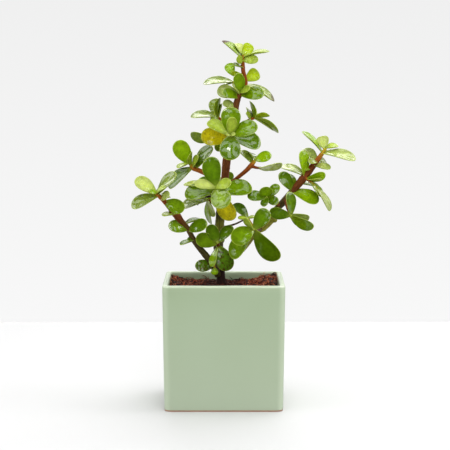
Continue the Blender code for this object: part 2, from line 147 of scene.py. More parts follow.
def loft(rings):
    """The points of all rings in order, and the faces from each ring to the next. Rings
    run anticlockwise seen from ahead, and a ring of one point closes an end."""
    points, faces = [], []
    before = None
    for ring in rings:
        now = range(len(points), len(points) + len(ring))
        points.extend(ring)
        count = 0 if before is None else max(len(before), len(now))
        for i in range(count):
            j = (i + 1) % count
            if len(before) == 1:
                faces.append((before[0], now[j], now[i]))
            elif len(now) == 1:
                faces.append((before[i], before[j], now[0]))
            else:
                faces.append((before[i], before[j], now[j], now[i]))
        before = now
    return points, faces


def square_ring(half, corner, z, side_steps):
    """A level square with rounded corners, anticlockwise seen from above."""
    middle = half - corner
    quarter = [(middle + corner * math.cos(a), middle + corner * math.sin(a))
               for a in (math.pi / 2 * step / CORNER_STEPS for step in range(CORNER_STEPS + 1))]
    quarter += [(middle * (1 - 2 * step / side_steps), half) for step in range(1, side_steps)]
    ring = []
    for _ in range(4):
        ring += [Vector((x, y, z)) for x, y in quarter]
        quarter = [(-y, x) for x, y in quarter]
    return ring


def smooth_share(value, low, high):
    """0 below low and 1 above high, with a soft rise between them."""
    share = min(1, max(0, (value - low) / (high - low)))
    return share * share * (3 - 2 * share)


def pot_half_width(z):
    return (POT_FOOT_WIDTH + (POT_WIDTH - POT_FOOT_WIDTH) * z / POT_HEIGHT) / 2


def pot_profile():
    """The pot's section as (z, distance in from the outer face), from under the foot over
    the lip and down inside to the floor."""
    bare = GLAZE_THICKNESS
    profile = [(0, FOOT_RING), (0, FOOT_ROUND + bare)]
    profile += [(FOOT_ROUND * (1 - math.cos(a)), bare + FOOT_ROUND * (1 - math.sin(a)))
                for a in (math.radians(d) for d in (30, 60, 90))]
    profile += [(CLAY_LINE, bare), (CLAY_LINE + 0.5 * bare, 0.3 * bare), (CLAY_LINE + 2 * bare, 0)]
    low, high = CLAY_LINE + 0.002, POT_HEIGHT - LIP_ROUND - 0.0005
    profile += [(low + (high - low) * i / WALL_STEPS, 0) for i in range(WALL_STEPS + 1)]
    arc = [math.radians(d) for d in range(0, 91, 15)]
    profile += [(POT_HEIGHT - LIP_ROUND * (1 - math.sin(a)), LIP_ROUND * (1 - math.cos(a))) for a in arc]
    profile += [(POT_HEIGHT - LIP_ROUND * (1 - math.cos(a)), POT_WALL - LIP_ROUND * (1 - math.sin(a)))
                for a in arc]
    profile += [(POT_HEIGHT - depth, POT_WALL) for depth in INSIDE_DEPTHS]
    return profile + [(POT_WALL + 0.002, POT_WALL + 0.0006), (POT_WALL, POT_WALL + 0.002)]


pot_rings, glaze_thin, clay_rings = [[Vector((0, 0, 0))]], [(0,)], 0
for z, inset in pot_profile():
    half = pot_half_width(z) - inset
    ring = square_ring(half, max(POT_CORNER - inset, POT_CORNER / 4), z, SIDE_STEPS)
    lip = smooth_share(z, POT_HEIGHT - 1.6 * LIP_ROUND, POT_HEIGHT - 0.3 * LIP_ROUND)
    clay_rings += z <= CLAY_LINE
    for point in ring:
        corner = smooth_share(min(abs(point.x), abs(point.y)), half - 0.9 * POT_CORNER,
                              half - 0.3 * POT_CORNER)
        wave = 0.5 + 0.5 * noise.noise(Vector((point.x, point.y, 0)) * LIP_WAVES_PER_METRE)
        point.z -= LIP_WAVE * wave * smooth_share(z, POT_HEIGHT - 0.006, POT_HEIGHT)
        # Partly painted highlight: the lip and the upright corners are painted paler, as thin glaze and as
        # the shine these edges catch
        edge = 0.35 * corner if inset < POT_WALL / 2 else 0.05
        glaze_thin.append((min(1, 0.45 * lip + edge + 0.25 * lip * wave),))
    pot_rings.append(ring)
pot_rings.append([Vector((0, 0, POT_WALL))])
glaze_thin.append((0,))
pot_points, pot_faces = loft(pot_rings)
bare_clay = len(pot_rings[1]) * clay_rings

# Celadon glaze: smooth with a soft gloss, deeper green where it pooled, and palest where it ran thin,
# a paleness that over the lip and corners is partly painted highlight. It is also painted paler and
# greyer low down, which is painted light. Its orange peel is drawn coarser than life, or it wouldn't show.
celadon_glaze = bpy.data.materials.new("celadon_glaze")
celadon_glaze.use_nodes = True
tree = celadon_glaze.node_tree
glaze = tree.nodes["Principled BSDF"]
glaze.inputs["IOR"].default_value = 1.52
place = add_node(tree, "TexCoord").outputs["Object"]
drift = add_node(tree, "TexNoise", {"Vector": place, "Scale": 1 / (60 * MM), "Detail": 1})
pooled = add_node(tree, "MapRange", {"Value": drift.outputs[0], "From Min": 0.3, "From Max": 0.75})
body = add_node(tree, "Mix", {0: pooled.outputs[0], 6: linear(GLAZE_COLOUR), 7: linear(GLAZE_POOLED)},
                data_type="RGBA")
level = add_node(tree, "SeparateXYZ", {0: place}).outputs[2]
# Painted light: the glaze is mixed paler and greyer from the lip down to the foot
painted_low_light = add_node(tree, "MapRange", {"Value": level, "From Min": POT_HEIGHT, "From Max": 0, "To Max": 0.9})
body = add_node(tree, "Mix", {0: painted_low_light.outputs[0], 6: body.outputs[2], 7: linear(GLAZE_PAINTED_LIGHT_LOW)},
                data_type="RGBA")
# Partly painted highlight: paler where the glaze runs thin over the lip and corners
thin = add_node(tree, "Attribute", attribute_name="glaze_thin").outputs["Fac"]
colour = add_node(tree, "Mix", {0: thin, 6: body.outputs[2], 7: linear(GLAZE_THIN_AND_HIGHLIGHT)}, data_type="RGBA")
tree.links.new(colour.outputs[2], glaze.inputs["Base Color"])
gloss = add_node(tree, "TexNoise", {"Vector": place, "Scale": 1 / (18 * MM), "Detail": 1})
roughness = add_node(tree, "MapRange", {"Value": gloss.outputs[0], "To Min": 0.3, "To Max": 0.36})
tree.links.new(roughness.outputs[0], glaze.inputs["Roughness"])
peel = add_node(tree, "TexNoise", {"Vector": place, "Scale": 1 / (5 * MM), "Detail": 2})
bump = add_node(tree, "Bump", {"Height": peel.outputs[0], "Distance": 0.05 * MM, "Strength": 0.2})
tree.links.new(bump.outputs[0], glaze.inputs["Normal"])

# Bare stoneware: fired clay, dry and sandy, toasted darker in patches at its edge
bare_stoneware = bpy.data.materials.new("bare_stoneware")
bare_stoneware.use_nodes = True
tree = bare_stoneware.node_tree
clay = tree.nodes["Principled BSDF"]
clay.inputs["Roughness"].default_value = 0.85
place = add_node(tree, "TexCoord").outputs["Object"]
toast = add_node(tree, "TexNoise", {"Vector": place, "Scale": 1 / (14 * MM), "Detail": 3})
colour = add_node(tree, "Mix", {0: toast.outputs[0], 6: linear(CLAY_COLOUR), 7: linear(CLAY_DARK)},
                  data_type="RGBA")
tree.links.new(colour.outputs[2], clay.inputs["Base Color"])
grit = add_node(tree, "TexNoise", {"Vector": place, "Scale": 1 / (0.4 * MM), "Detail": 3})
bump = add_node(tree, "Bump", {"Height": grit.outputs[0], "Distance": 0.1 * MM, "Strength": 0.6})
tree.links.new(bump.outputs[0], clay.inputs["Normal"])

pot = Shape()
pot.add(pot_points, pot_faces, [int(i < bare_clay) for i in range(len(pot_faces))], glaze_thin=glaze_thin)
pot.piece("glazed_pot", "glaze", "pot", celadon_glaze, bare_stoneware)

# Soil. Coir potting mix: short red-brown husk fibres and crumbs, pressed in loosely a few
# millimetres under the lip. It is banked up in the two rear corners and a little round
# the trunk, and loose fibres lean on the walls. Its fibres are darkened with painted shade
# round the trunk and towards the left, the shade under the plant and away from the light.
SOIL_LEVEL = 0.097
SOIL_GAP = 0.0003
SOIL_HALF = pot_half_width(SOIL_LEVEL) - POT_WALL - SOIL_GAP
SOIL_CORNER = POT_CORNER - POT_WALL
SOIL_RINGS = 44
SOIL_SIDE_STEPS = 28
BED_SINK = 0.0008
BUMP = 0.0007
CRUMB = 0.0013
CRUMB_SPACING = 0.0028
MOUND = 0.0022
MOUND_REACH = 0.011
BANK = 0.0045
FIBRE_COUNT = 1700
FIBRE_STEPS = 4
FIBRE_LENGTH = (2.5, 8)
FIBRE_RADIUS = (0.16, 0.42)
FIBRE_LIFT = 1.3
COIR_COLOURS = ["#9c4a30", "#bb6642", "#5a2416", "#cc8460", "#38140c", "#a55238"]
COIR_IN_SHADE = "#2b130d"
SHADE_REACH = 0.019
COIR_SHADE = "#260f0b"
soil_draws = random.Random(31)


def soil_height(x, y):
    """The bed's low bumps and crumbs, its banks in the rear corners and its mound."""
    bumps = math.sin(x * 230 + 1) * math.cos(y * 190) + 0.6 * math.sin(x * 410 + y * 350)
    crumbs = noise.fractal(Vector((x, y, 0)) / CRUMB_SPACING, 0.6, 2, 3)
    side = smooth_share(x, 0.018, 0.044) + 0.9 * smooth_share(-x, 0.030, 0.045)
    mound = MOUND * math.exp(-((x + 0.002) ** 2 + y**2) / MOUND_REACH**2)
    bank = BANK * side * smooth_share(y, -0.01, 0.04)
    return SOIL_LEVEL - BED_SINK + BUMP * bumps + CRUMB * crumbs + bank + mound


def tube(route, sides):
    """Rings round a route of (place, radius, ...) with a single point at both ends."""
    last = len(route) - 1
    aside = (route[1][0] - route[0][0]).orthogonal()
    rings = [[route[0][0]]]
    for i, (place, radius, *_) in enumerate(route):
        ahead = (route[min(i + 1, last)][0] - route[max(i - 1, 0)][0]).normalized()
        aside = (aside - ahead * aside.dot(ahead)).normalized()
        across = ahead.cross(aside)
        rings.append([place + (aside * math.cos(a) + across * math.sin(a)) * radius
                      for a in (math.tau * k / sides for k in range(sides))])
    return rings + [[route[-1][0]]]


def in_pot(x):
    return min(SOIL_HALF, max(-SOIL_HALF, x))


def coir_fibre(x, y, length, radius, lift):
    """A bent fibre that lies on the bed, and climbs the wall where it runs into it."""
    heading, bend = soil_draws.uniform(0, math.tau), soil_draws.uniform(-1.6, 1.6)
    route = []
    for step in range(FIBRE_STEPS + 1):
        share = step / FIBRE_STEPS
        held = Vector((in_pot(x), in_pot(y)))
        climb = 0.7 * (abs(x - held.x) + abs(y - held.y))
        arch = lift * math.sin(math.pi * min(1, share * 1.3))
        route.append((Vector((*held, soil_height(*held) + climb + arch)),
                      radius * (1 - 0.55 * abs(2 * share - 1))))
        x += math.cos(heading + bend * share) * length / FIBRE_STEPS
        y += math.sin(heading + bend * share) * length / FIBRE_STEPS
    return loft(tube(route, 4))


# Coir: dry husk fibre, matt and dusty, each one its own brown
coir_fibre_brown = bpy.data.materials.new("coir_fibre_brown")
coir_fibre_brown.use_nodes = True
tree = coir_fibre_brown.node_tree
coir = tree.nodes["Principled BSDF"]
coir.inputs["Roughness"].default_value = 0.85
coir.inputs["Specular IOR Level"].default_value = 0.2
place = add_node(tree, "TexCoord").outputs["Object"]
tint = add_node(tree, "Attribute", attribute_name="coir_tint").outputs["Color"]
dust = add_node(tree, "TexNoise", {"Vector": place, "Scale": 1 / (1.2 * MM), "Detail": 4})
shade = add_node(tree, "MapRange", {"Value": dust.outputs[0], "From Min": 0.3, "From Max": 0.7,
                                    "To Min": 0.55, "To Max": 1.25})
colour = add_node(tree, "Mix", {0: 1, 6: tint, 7: shade.outputs[0]}, data_type="RGBA",
                  blend_type="MULTIPLY")
tree.links.new(colour.outputs[2], coir.inputs["Base Color"])
husk = add_node(tree, "TexNoise", {"Vector": place, "Scale": 1 / (0.5 * MM), "Detail": 3})
bump = add_node(tree, "Bump", {"Height": husk.outputs[0], "Distance": 0.2 * MM, "Strength": 0.8})
tree.links.new(bump.outputs[0], coir.inputs["Normal"])

bed_floor = POT_WALL + 0.0005
bed_rings = [[Vector((0, 0, bed_floor))],
             square_ring(SOIL_HALF - 0.004, SOIL_CORNER, bed_floor, SOIL_SIDE_STEPS)]
for i in range(SOIL_RINGS):
    share = 1 - i / SOIL_RINGS
    ring = square_ring(SOIL_HALF * share, SOIL_CORNER * share, 0, SOIL_SIDE_STEPS)
    for point in ring:
        point.z = soil_height(point.x, point.y)
    bed_rings.append(ring)
bed_rings.append([Vector((0, 0, soil_height(0, 0)))])
bed_points, bed_faces = loft(bed_rings)
bed = Shape()
bed.add(bed_points, bed_faces, coir_tint=[linear(COIR_SHADE)] * len(bed_points))
bed.piece("coir_bed", "soil", "soil", coir_fibre_brown)

fibres = Shape()
for i in range(FIBRE_COUNT):
    x, y = (soil_draws.uniform(-SOIL_HALF, SOIL_HALF) for _ in range(2))
    points, faces = coir_fibre(x, y, soil_draws.uniform(*FIBRE_LENGTH) * MM,
                               soil_draws.uniform(*FIBRE_RADIUS) * MM,
                               soil_draws.uniform(0, FIBRE_LIFT) * MM)
    # Painted shade: fibres round the trunk, and less so towards the left, are mixed towards a dark brown
    brown, shade_brown = linear(soil_draws.choice(COIR_COLOURS)), linear(COIR_IN_SHADE)
    shade_share = 0.8 * math.exp(-((x / SHADE_REACH) ** 4)) + 0.2 * smooth_share(-x, 0, SHADE_REACH)
    brown = [unshaded + (dark - unshaded) * shade_share for unshaded, dark in zip(brown, shade_brown)]
    fibres.add(points, faces, coir_tint=[brown] * len(points))
fibres.piece("coir_fibres", "soil", "soil", coir_fibre_brown)

# Trunk. The jade plant's main stem, with the leaves of its top, a few side twigs and a dead
# one. It grew up out of the soil, which stains its foot. Its bark is olive and corky low
# down, red-brown half way up, and orange to yellow-green on this year's growth.
EYE_DISTANCE = -1000 * CAMERA_PLACE[1]
EYE_HEIGHT = 1000 * CAMERA_PLACE[2]
# These two bring the plant's lists from the view's scale to the true size, and to heights
# over the pot's foot
LIST_SCALE = 0.989
LIST_BASE = 2.6
BARK_STEP = 0.8
BARK_AGES = [(0, "#878330"), (0.12, "#484024"), (0.3, "#56421c"), (0.45, "#66381a"), (0.6, "#6f3814"),
             (0.75, "#833f12"), (0.88, "#9c5a1a"), (1, "#aa9a24")]
DEAD_BARK = "#2b1a17"
NODE_SPACING = 7.5
COLLAR = 0.3
JOINT_RISE = 0.07
JOINT_WIDTH = 0.55
BARK_FURROW = 0.06
# A leaf's thickness (BLADE), raised rim and sunk root, and what its tip is short of, are in
# millimetres. Its least width and its arch are shares of its length, and its cup is a
# share of its width.
LEAF_SIDES = 24
LEAF_STEPS = 20
LEAF_WAVE = (0.08, 0.2)
LEAF_LIGHTNESS = (0.96, 1.16)
LEAF_GROOVE = 0.22
BLADE = 1.8
SLENDER = 0.58
CUP = 0.1
RIM = 0.4
TIP_TRIM = 0.55
LEAN_BACK = -0.5
ARCH = 0.05
ROOT = 0.7
MIRRORED_LEAN = 2.5
MIRRORED_REACH = 0.82
MIRRORED_BACK = 2
BUD_LENGTH = 2.6
BUD_SPREAD = 1.1
BUD_WIDTH = 1.5
# Each tint is a colour, how brown-specked the leaf is, how far its tip has dried and
# how much dull bloom still lies on its gloss. The two greyish tints for glossy leaves, sheen
# and the paler grey one, are painted sheen: their grey stands in for the pale room the wax mirrors.
LEAF_TINTS = {
    "deep": ("#3a5706", 0, 0, 0), "green": ("#517106", 0, 0, 0), "fresh": ("#678706", 0, 0, 0),
    "bright": ("#82a508", 0, 0, 0.3), "lime": ("#9fb418", 0, 0, 0.6), "young": ("#93a736", 0, 0, 0.7),
    "soft": ("#7d983a", 0, 0, 0.1), "pale": ("#b0bd66", 0, 0, 0.7), "sheen": ("#74883a", 0, 0, 0),
    "sheen_gray": ("#96a464", 0, 0, 0.2), "gold": ("#bdb010", 0.3, 0, 0.3), "tipped": ("#7f9a28", 0, 1, 0.8),
    "dry_tip": ("#85964f", 0, 0.7, 0.4), "spotted": ("#4c6f10", 0.8, 0, 0), "dull": ("#49690c", 0, 0, 0.85),
    "shaded": ("#43610a", 0, 0, 0.6),
}
growth_draws = random.Random(19)


def seen(x, back, z):
    """The true place of what shows at x and z against the middle plane, and lies back."""
    far = (EYE_DISTANCE + back) / EYE_DISTANCE
    height = LIST_BASE + z * LIST_SCALE
    return Vector((x * LIST_SCALE * far, back, EYE_HEIGHT + (height - EYE_HEIGHT) * far)) * MM


def smooth_route(places, step):
    """(place, radius, youth) on a smooth curve through the listed places, a step apart."""
    knots = [(*seen(*p[:3]), p[3] * MM, p[4]) for p in places]
    knots = [knots[0], *knots, knots[-1]]
    route = []
    for a, b, c, d in zip(knots, knots[1:], knots[2:], knots[3:]):
        steps = max(1, round((Vector(c[:3]) - Vector(b[:3])).length / (step * MM)))
        for i in range(steps):
            t = i / steps
            route.append([
                q + 0.5 * ((r - p) * t + (2 * p - 5 * q + 4 * r - s) * t**2
                           + (3 * q - p - 3 * r + s) * t**3)
                for p, q, r, s in zip(a, b, c, d)
            ])
    route.append(list(knots[-1]))
    return [(Vector(p[:3]), p[3], p[4]) for p in route]


def bark_tint(youth):
    """The bark's colour between the two listed ages next to it, or below 0 that of dead or
    soil-stained bark."""
    if youth < 0:
        return linear(DEAD_BARK)
    for (low, old), (high, young) in zip(BARK_AGES, BARK_AGES[1:]):
        if youth <= high:
            share = (youth - low) / (high - low)
            return [a + (b - a) * share for a, b in zip(linear(old), linear(young))]
    return linear(BARK_AGES[-1][1])


def add_stem(shape, places):
    """A stem with a collar at its root, a low ring at each old leaf joint and a round end."""
    route = smooth_route(places, BARK_STEP)
    thick = max(radius for _, radius, _ in route)
    sides = 20 if thick > 2.2 * MM else 12
    spacing = NODE_SPACING * MM * math.sqrt(thick / (2.5 * MM))
    phase, travelled = growth_draws.uniform(0, spacing), 0
    shaped, grain = [], [(0, 0, 0)]
    for i, (place, radius, youth) in enumerate(route):
        travelled += (place - route[max(0, i - 1)][0]).length
        from_joint = (travelled + phase) % spacing
        ring = math.exp(-((min(from_joint, spacing - from_joint) / (JOINT_WIDTH * MM)) ** 2))
        collar = COLLAR * math.exp(-((travelled / (2.2 * thick)) ** 2))
        to_end = len(route) - 1 - i
        rounding = math.sqrt(1 - ((2 - to_end) / 2.4) ** 2) if to_end < 2 else 1
        shaped.append((place, radius * (1 + collar + JOINT_RISE * ring) * rounding, youth))
        grain += [(math.cos(a) * radius / MM, math.sin(a) * radius / MM, 0.16 * travelled / MM)
                  for a in (math.tau * k / sides for k in range(sides))]
    rings = tube(shaped, sides)
    for ring, (place, radius, youth) in zip(rings[1:], shaped):
        for point in ring:
            furrow = noise.noise(Vector((point.x, point.y, point.z * 0.35)) / (1.1 * MM))
            point += (point - place).normalized() * BARK_FURROW * radius * furrow
    points, faces = loft(rings)
    tints = [bark_tint(route[0][2])]
    for _, _, youth in route:
        tints += [bark_tint(youth)] * sides
    shape.add(points, faces, bark_tint=tints + tints[-1:], bark_grain=grain + grain[-1:])


def fullness(t):
    """How wide a leaf is at t of its length, as a share of an ellipse's width there."""
    return (0.61 + 0.73 * t) * (1 - 0.3 * (1 - t) ** 5)


def add_leaf(shape, root, tip, upward, shown, tint):
    """One thick leaf. It turns about its length until its seen width is the shown one,
    with its upper face towards upward, the way its stem grows."""
    along = tip - root
    length = along.length
    along.normalize()
    sunk = ROOT * MM
    root = root - along * sunk
    width = max(shown, SLENDER * length / MM) * MM
    to_eye = Vector((0, -1, 0)) - along * along.dot(Vector((0, -1, 0)))
    to_eye.normalize()
    aside = along.cross(to_eye)
    turn = math.acos(min(1, shown * MM / width))
    facing = 1 if upward.dot(to_eye) >= LEAN_BACK else -1
    leaning = 1 if upward.dot(aside) >= 0 else -1
    normal = to_eye * math.cos(turn) * facing + aside * math.sin(turn) * leaning
    sideways = normal.cross(along)
    phase, wave = growth_draws.uniform(0, math.tau), growth_draws.uniform(*LEAF_WAVE)
    colour, *marks = LEAF_TINTS[tint]
    lightness = growth_draws.uniform(*LEAF_LIGHTNESS)
    rings, form = [], []
    for step in range(LEAF_STEPS + 1):
        level = -math.cos(math.pi * step / LEAF_STEPS)
        t = (1 + level) / 2
        ring = math.sqrt(max(0, 1 - level**2))
        spine = root + along * (length + sunk - TIP_TRIM * MM) * t
        points = []
        for k in range(LEAF_SIDES if 0 < step < LEAF_STEPS else 1):
            a = math.tau * k / LEAF_SIDES
            across = math.cos(a) * ring
            side = math.copysign(abs(math.sin(a)) ** 0.85, math.sin(a))
            groove = LEAF_GROOVE * math.exp(-((across / 0.16) ** 2)) * (1 - t) * ring * (side > 0)
            rim = RIM * (across**2 + level**2) ** 4 * smooth_share(t, 0.2, 0.6) * (1 - t**16)
            raised = (side * ring**0.8 * BLADE / 2 - groove + CUP * width / MM * across**2 + rim
                      + ARCH * length / MM * ring**2
                      + wave * ring * math.sin(phase + 5 * t + 2.2 * across))
            points.append(spine + sideways * across * width / 2 * fullness(t) + normal * raised * MM)
            form.append((math.sqrt(across**2 + level**2), t, 0.5 + 0.5 * side))
        rings.append(points)
    points, faces = loft(rings)
    shape.add(points, faces,
              leaf_tint=[[c * lightness for c in linear(colour)[:3]] + [1]] * len(points),
              leaf_form=form, leaf_marks=[marks] * len(points))


def nearest_on(routes, x, z):
    """The place on the stems nearest to what shows at x and z, and the way they grow there."""
    best = None
    for places in routes:
        route = smooth_route(places, 1)
        for (a, *_), (b, *_) in zip(route, route[1:]):
            off = (seen(x, b.y / MM, z) - b).length
            if best is None or off < best[0]:
                best = (off, b, (b - a).normalized())
    return best[1:]


def add_bud(shape, places):
    """The two folded leaves, still closed over each other, that a live stem ends in."""
    route = smooth_route(places, 1)
    end, growth = route[-1][0], (route[-1][0] - route[-3][0]).normalized()
    across = growth.orthogonal().normalized()
    for side in (-1, 1):
        tip = end + (growth * BUD_LENGTH + across * side * BUD_SPREAD) * MM
        add_leaf(shape, end - growth * MM, tip, growth, BUD_WIDTH, "young")


def grow(node, stem, leaves, twigs=(), mirrored=False):
    """A sprig's bark and its leaves, set in place of its CAD node."""
    bark = Shape()
    for places in (stem, *twigs):
        add_stem(bark, places)
    bark.piece(node + "_bark", "plant", node, jade_bark)
    foliage = Shape()
    for x, z, tip_x, tip_z, back, shown, tint in leaves:
        root, growth = nearest_on([stem, *twigs], x, z)
        add_leaf(foliage, root, seen(tip_x, root.y / MM + back, tip_z), growth, shown, tint)
        if mirrored and back < -MIRRORED_LEAN:
            reach = MIRRORED_REACH
            tip = seen(x + (tip_x - x) * reach, root.y / MM - back * reach + MIRRORED_BACK,
                       z + (tip_z - z) * reach)
            add_leaf(foliage, root, tip, growth, shown * reach, tint)
    add_bud(foliage, stem)
    foliage.piece(node + "_leaves", "plant", node, jade_leaf)


# Jade bark: thin and smooth with little gloss, and with darker and paler streaks along the
# stem. Their pattern is in millimetres, drawn out about six times along the stem.
jade_bark = bpy.data.materials.new("jade_bark")
jade_bark.use_nodes = True
tree = jade_bark.node_tree
bark = tree.nodes["Principled BSDF"]
bark.inputs["Specular IOR Level"].default_value = 0.1
grain = add_node(tree, "Attribute", attribute_name="bark_grain").outputs["Vector"]
tint = add_node(tree, "Attribute", attribute_name="bark_tint").outputs["Color"]
streaks = add_node(tree, "TexNoise", {"Vector": grain, "Scale": 1.1, "Detail": 5, "Roughness": 0.65})
shade = add_node(tree, "MapRange", {"Value": streaks.outputs[0], "From Min": 0.3, "From Max": 0.72,
                                    "To Min": 0.5, "To Max": 1.7})
colour = add_node(tree, "Mix", {0: 1, 6: tint, 7: shade.outputs[0]}, data_type="RGBA",
                  blend_type="MULTIPLY")
tree.links.new(colour.outputs[2], bark.inputs["Base Color"])
roughness = add_node(tree, "MapRange", {"Value": streaks.outputs[0], "To Min": 0.55, "To Max": 0.35})
tree.links.new(roughness.outputs[0], bark.inputs["Roughness"])
bump = add_node(tree, "Bump", {"Height": streaks.outputs[0], "Distance": 0.3 * MM, "Strength": 0.6})
tree.links.new(bump.outputs[0], bark.inputs["Normal"])

# Jade leaf: thick and full of water under a clear waxy skin, which shines where no dull
# bloom lies on it. It is paler at the root and below, and its pale margin is painted light,
# the light that its thin translucent edge lets through and catches. It is painted darker from
# the middle out towards the margin, as painted shade for its fullness. Its ripples and dimples
# are drawn coarser than life, and a failing leaf has corky brown specks or a dried tip.
LEAF_LIT_MARGIN = "#b4c45c"
LEAF_UNDER = "#8fa524"
LEAF_ROOT = "#a9b654"
LEAF_WAX = "#d0dc90"
LEAF_CUTICLE = "#f8fac8"
LEAF_CORK = "#43200b"
jade_leaf = bpy.data.materials.new("jade_leaf")
jade_leaf.use_nodes = True
tree = jade_leaf.node_tree
leaf = tree.nodes["Principled BSDF"]
leaf.inputs["IOR"].default_value = 1.45
leaf.inputs["Specular IOR Level"].default_value = 0.3
leaf.inputs["Specular Tint"].default_value = linear(LEAF_WAX)
leaf.inputs["Coat Tint"].default_value = linear(LEAF_CUTICLE)
leaf.inputs["Coat Roughness"].default_value = 0.04
leaf.inputs["Subsurface Weight"].default_value = 0.1
leaf.inputs["Subsurface Radius"].default_value = (0.7, 1.0, 0.1)
leaf.inputs["Subsurface Scale"].default_value = 0.8 * MM
place = add_node(tree, "TexCoord").outputs["Object"]
tint = add_node(tree, "Attribute", attribute_name="leaf_tint").outputs["Color"]
form = add_node(tree, "Attribute", attribute_name="leaf_form").outputs["Vector"]
edge, along, side = add_node(tree, "SeparateXYZ", {0: form}).outputs
marks = add_node(tree, "Attribute", attribute_name="leaf_marks").outputs["Vector"]
specks, dried, bloom = add_node(tree, "SeparateXYZ", {0: marks}).outputs
cloud = add_node(tree, "TexNoise", {"Vector": place, "Scale": 1 / (3.5 * MM), "Detail": 3})
shade = add_node(tree, "MapRange", {"Value": cloud.outputs[0], "From Min": 0.3, "From Max": 0.7,
                                    "To Min": 0.82, "To Max": 1.2})
colour = add_node(tree, "Mix", {0: 1, 6: tint, 7: shade.outputs[0]}, data_type="RGBA",
                  blend_type="MULTIPLY")
under = add_node(tree, "MapRange", {"Value": side, "From Min": 0.5, "From Max": 0.2, "To Max": 0.35})
colour = add_node(tree, "Mix", {0: under.outputs[0], 6: colour.outputs[2], 7: linear(LEAF_UNDER)},
                  data_type="RGBA")
# Painted shade: the leaf is lighter in the middle and darker out towards its margin
painted_depth_shade = add_node(tree, "MapRange", {"Value": edge, "From Min": 0.35, "From Max": 0.9,
                                    "To Min": 1.12, "To Max": 0.8})
colour = add_node(tree, "Mix", {0: 1, 6: colour.outputs[2], 7: painted_depth_shade.outputs[0]}, data_type="RGBA",
                  blend_type="MULTIPLY")
# Painted light: the pale margin stands in for the light that the thin translucent edge lets through and
# catches
lit_margin = add_node(tree, "MapRange", {"Value": edge, "From Min": 0.92, "From Max": 1.0, "To Max": 0.6},
                  interpolation_type="SMOOTHSTEP")
colour = add_node(tree, "Mix", {0: lit_margin.outputs[0], 6: colour.outputs[2], 7: linear(LEAF_LIT_MARGIN)},
                  data_type="RGBA")
base = add_node(tree, "MapRange", {"Value": along, "From Min": 0.3, "From Max": 0.02, "To Max": 0.55})
colour = add_node(tree, "Mix", {0: base.outputs[0], 6: colour.outputs[2], 7: linear(LEAF_ROOT)},
                  data_type="RGBA")
cork = add_node(tree, "TexNoise", {"Vector": place, "Scale": 1 / (2 * MM), "Detail": 2})
spot = add_node(tree, "MapRange", {"Value": cork.outputs[0], "From Min": 0.53, "From Max": 0.6})
spotted = add_node(tree, "Math", {0: spot.outputs[0], 1: specks}, operation="MULTIPLY")
colour = add_node(tree, "Mix", {0: spotted.outputs[0], 6: colour.outputs[2], 7: linear(LEAF_CORK)},
                  data_type="RGBA")
tip = add_node(tree, "MapRange", {"Value": along, "From Min": 0.8, "From Max": 0.88})
browned = add_node(tree, "Math", {0: tip.outputs[0], 1: dried}, operation="MULTIPLY")
colour = add_node(tree, "Mix", {0: browned.outputs[0], 6: colour.outputs[2], 7: linear(LEAF_CORK)},
                  data_type="RGBA")
tree.links.new(colour.outputs[2], leaf.inputs["Base Color"])
dull = add_node(tree, "Math", {0: bloom, 1: browned.outputs[0]})
coat = add_node(tree, "MapRange", {"Value": dull.outputs[0], "To Min": 1, "To Max": 0})
tree.links.new(coat.outputs[0], leaf.inputs["Coat Weight"])
roughness = add_node(tree, "MapRange", {"Value": cloud.outputs[0], "To Min": 0.3, "To Max": 0.42})
tree.links.new(roughness.outputs[0], leaf.inputs["Roughness"])
ripples = add_node(tree, "TexNoise", {"Vector": place, "Scale": 1 / (3 * MM), "Detail": 1})
bump = add_node(tree, "Bump", {"Height": ripples.outputs[0], "Distance": 0.8 * MM, "Strength": 0.52})
dimples = add_node(tree, "TexNoise", {"Vector": place, "Scale": 1 / (1.1 * MM), "Detail": 3})
bump = add_node(tree, "Bump", {"Height": dimples.outputs[0], "Distance": 0.12 * MM, "Strength": 0.2,
                               "Normal": bump.outputs[0]})
tree.links.new(bump.outputs[0], leaf.inputs["Normal"])

